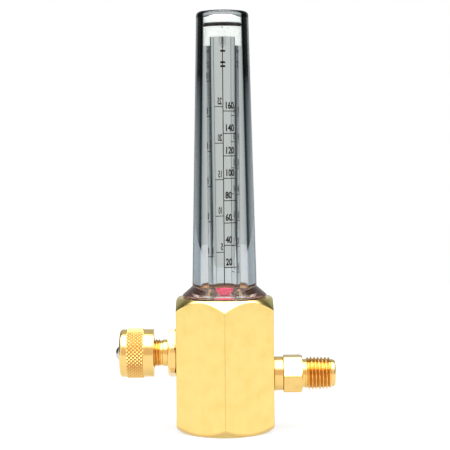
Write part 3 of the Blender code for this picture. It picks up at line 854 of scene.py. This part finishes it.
def make_stem():
    outline = [
        (0, 9.4), (0.25, 9.4), (2.1, 12.6), (2.1, 13.1), (2.35, 13.4), (2.35, 15.0), (1.5, 15.0), (1.5, 16.2),
        (2.35, 16.2), (2.35, 38.3), (1.9, 38.3), (1.9, 40.1), (1.4, 40.1), (1.4, 36.2), (0, 36.2),
    ]
    outline = soften(from_mm(outline), 0.1 * MM)
    piece("needle", lathe(outline, ring_angles(48)), LOOK["steel"], "valve", "valve_stem", TO_VALVE)


def make_knob():
    """Cup-shaped knob with a diamond-knurled band between two plain bands."""
    radius = 9.4
    teeth = 42
    low, high = 31.9, 38.7
    inside = [(1.5, 41.4), (1.5, 40.4), (2.2, 40.4), (2.2, 38.6), (5.95, 38.6), (5.95, 28.0)]
    rear = [(radius - 0.1, 28.0), (radius, 28.25), (radius, low - 0.05)]
    front = [(radius, high + 0.05), (radius, 40.2)]
    corner = arc((radius - 1.2, 40.2), 1.2, 10, 90, 8)
    rows = 56
    knurl = []
    for k in range(rows + 1):
        z = low + (high - low) * k / rows

        def station(angle, z=z):
            turns = (z - low) / (TAU * radius / teeth)
            along = angle * teeth / TAU
            a = abs((along + turns * 0.9) % 1.0 - 0.5) * 2
            b = abs((along - turns * 0.9) % 1.0 - 0.5) * 2
            ridge = min(1.0, a * 1.25) * min(1.0, b * 1.25)
            fade = min(1.0, (z - low) / 0.35, (high - z) / 0.35)
            fade = max(0.0, fade)
            # the third value paints shade into the knurl's grooves
            return (radius + (0.6 * ridge - 0.1) * fade) * MM, z * MM, (1 - ridge) * fade

        knurl.append(station)
    stations = [*from_mm(inside + rear), *knurl, *from_mm(front + corner)]
    bm = lathe(stations, ring_angles(teeth * 8))
    piece("knurled_knob", bm, LOOK["turned_x"], "valve", "knob", TO_VALVE, 40)


def make_screw():
    """Dome-headed screw with a hexagon socket."""
    head = 41.7 * MM
    height = 1.7 * MM
    head_r = 2.9 * MM
    sphere_r = (head_r**2 + height**2) / (2 * height)
    rise = math.degrees(math.asin((sphere_r - height) / sphere_r))
    top = head + height
    dome = arc((0, top - sphere_r), sphere_r, rise, 84, 12)
    dome = [point for point in dome if point[0] > 1.2 * MM]
    flats = 1.9 * MM
    corner = 0.1 * MM

    def socket(height):
        def station(angle):
            return hexagon_radius(angle, flats, 0, corner), height

        return station

    shank = [(0, 36.6 * MM), (1.1 * MM, 36.6 * MM), (1.1 * MM, head), (head_r - 0.15 * MM, head)]
    recess = [(1.25 * MM, top - 0.28 * MM), socket(top - 0.34 * MM), socket(top - 1.1 * MM)]
    recess.append((0, top - 1.3 * MM))
    bm = lathe([*shank, *dome, *recess], hexagon_angles(flats, 0, corner, 10))
    piece("dome_screw", bm, LOOK["steel"], "valve", "knob_screw", TO_VALVE)


# ---------------------------------------------------------------- printed scale


LINE = 0.32 * MM
COLUMN_WIDTH = 5.1 * MM
PRINT_LOW = 57.8 * MM
PRINT_HIGH = 155.3 * MM
INK_INSIDE = 0.01 * MM
INK_OUTSIDE = 0.05 * MM
NUMERAL_HEIGHT = 2.6 * MM
FONT_SIZE_PER_HEIGHT = 1.4
NUMERAL_NARROWING = 0.66


def on_tube(x, z, turn, lift):
    """A point of the flat print, wrapped on the metering tube."""
    angle = turn - math.pi / 2 + x / TUBE_R
    r = TUBE_R + lift
    return (r * math.cos(angle), r * math.sin(angle), z)


def wrapped_bar(bm, x0, x1, z0, z1, turn):
    """One printed stroke: a thin closed strip that follows the tube."""
    steps = max(1, int((x1 - x0) / (0.5 * MM)) + 1)
    layers = []
    for lift in (INK_INSIDE, INK_OUTSIDE):
        for z in (z0, z1):
            row = [on_tube(x0 + (x1 - x0) * i / steps, z, turn, lift) for i in range(steps + 1)]
            layers.append([bm.verts.new(point) for point in row])
    inner_low, inner_high, outer_low, outer_high = layers
    order = [inner_low, outer_low, outer_high, inner_high]
    for a, b in zip(order, order[1:] + order[:1]):
        for i in range(steps):
            bm.faces.new((a[i], a[i + 1], b[i + 1], b[i]))
    for i in (0, steps):
        bm.faces.new([row[i] for row in order])


def wrapped_text(bm, text, x, z, height, turn):
    """Numbers in Blender's own font, wrapped on the tube."""
    curve = bpy.data.curves.new("numeral", "FONT")
    curve.body = text
    curve.size = height * FONT_SIZE_PER_HEIGHT
    curve.extrude = 0.02 * MM
    curve.resolution_u = 3
    curve.offset = 0.05 * height
    holder = bpy.data.objects.new("numeral", curve)
    bpy.context.scene.collection.objects.link(holder)
    graph = bpy.context.evaluated_depsgraph_get()
    mesh = bpy.data.meshes.new_from_object(holder.evaluated_get(graph))
    start = len(bm.verts)
    bm.from_mesh(mesh)
    bm.verts.ensure_lookup_table()
    for vertex in bm.verts[start:]:
        co = vertex.co
        vertex.co = on_tube(x + co.x * NUMERAL_NARROWING, z + co.y, turn, 0.03 * MM + co.z)
    bpy.data.objects.remove(holder)
    bpy.data.curves.remove(curve)
    bpy.data.meshes.remove(mesh)


def make_scale():
    """Four printed columns round the tube, each for its own range."""
    columns = (
        (0, 64.5, 8.69, range(20, 161, 20)),
        (90, 62.0, 10.2, range(10, 71, 10)),
        (180, 69.5, 14.3, range(5, 26, 5)),
        (270, 68.5, 13.7, range(10, 61, 10)),
    )
    for turn_degrees, first, pitch, values in columns:
        turn = math.radians(turn_degrees)
        bm = bmesh.new()
        wrapped_bar(bm, -LINE / 2, LINE / 2, PRINT_LOW, PRINT_HIGH, turn)
        wrapped_bar(bm, COLUMN_WIDTH, COLUMN_WIDTH + LINE, PRINT_LOW, PRINT_HIGH, turn)
        for k, value in enumerate(values):
            z = (first + pitch * k) * MM
            wrapped_bar(bm, 0.12 * MM, COLUMN_WIDTH - 0.05 * MM, z, z + LINE, turn)
            wrapped_text(bm, str(value), 0.6 * MM, z + 1.1 * MM, NUMERAL_HEIGHT, turn)
        for z in (142.4, 143.9, 148.3):
            wrapped_bar(bm, -0.8 * MM, 1.0 * MM, z * MM, (z + 0.7) * MM, turn)
        piece(f"scale_{turn_degrees}", bm, LOOK["ink"], "housing", None, None, 60)


make_camera()
make_light()
make_floor()
make_body()
make_outlet_thread()
make_cover()
make_tube()
make_seals()
make_socket()
make_float()
make_cap()
make_inlet()
make_bonnet()
make_stem()
make_knob()
make_screw()
make_scale()
bpy.context.scene.view_settings.view_transform = "Standard"
